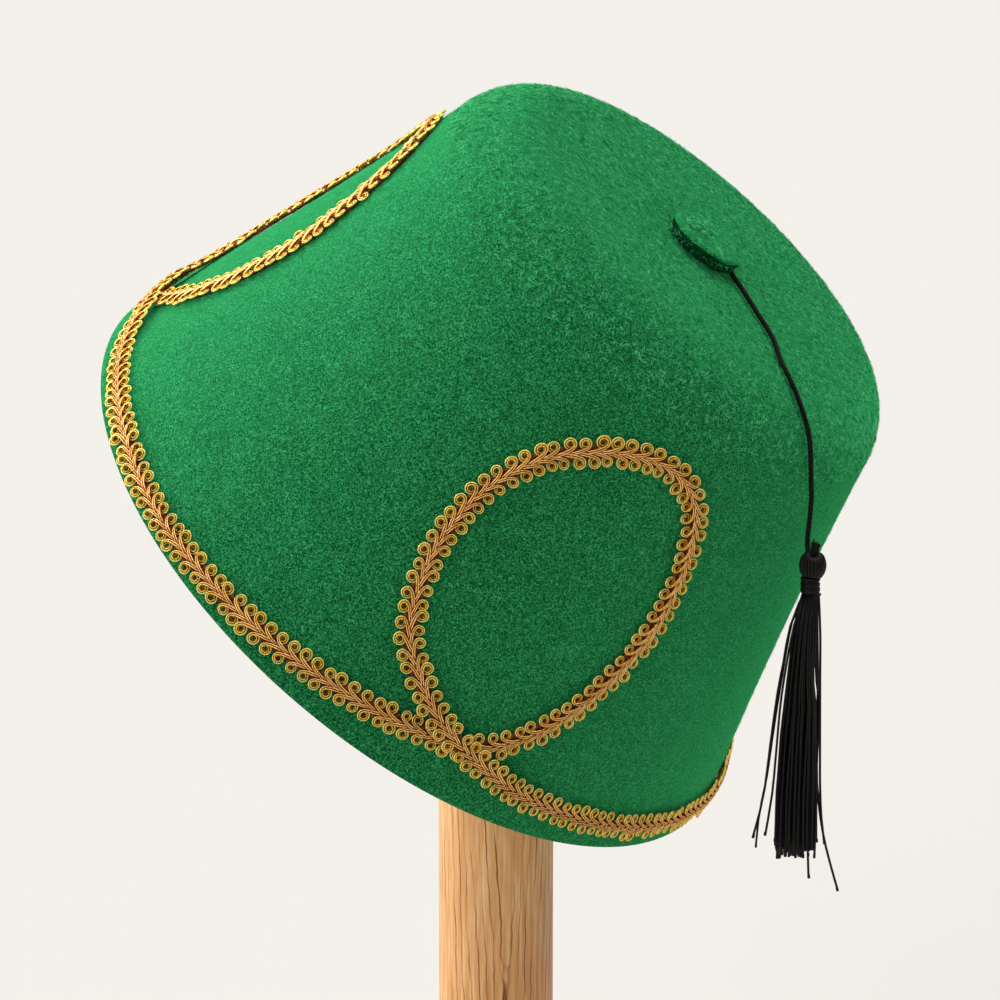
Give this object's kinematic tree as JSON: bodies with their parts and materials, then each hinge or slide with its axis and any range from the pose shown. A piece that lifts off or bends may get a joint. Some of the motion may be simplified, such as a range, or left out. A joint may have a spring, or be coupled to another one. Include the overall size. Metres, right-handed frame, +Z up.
{
  "type": "fez hat",
  "caption": "Brimless tapered felt hat with a looped gold braid round its rim and a black tassel on a cord from its flat crown, tilted over the round post of a wooden hat stand.",
  "frame": {"origin": "centre of the underside of the stand's round base", "axes": "+Z up along the post; the crown leans towards +X; Y runs along the long side of the hat's oval rim"},
  "size_m": [0.1698, 0.1876, 0.2876],
  "materials": {
    "green_felt": "pressed wool felt, matte, with a short fuzz",
    "gold_thread": "metallic yarn gimp, glossy",
    "black_thread": "twisted rayon, slight sheen",
    "pale_wood": "sanded hardwood, thin satin oil"
  },
  "bodies": {
    "root": {"felt_crown": "green_felt", "crown_tab": "green_felt", "gold_braid": "gold_thread", "tassel_cord": "black_thread", "tassel_head": "black_thread", "tassel_binding": "black_thread", "tassel_skirt": "black_thread", "stand_post": "pale_wood", "stand_base": "pale_wood"}
  },
  "joints": []
}
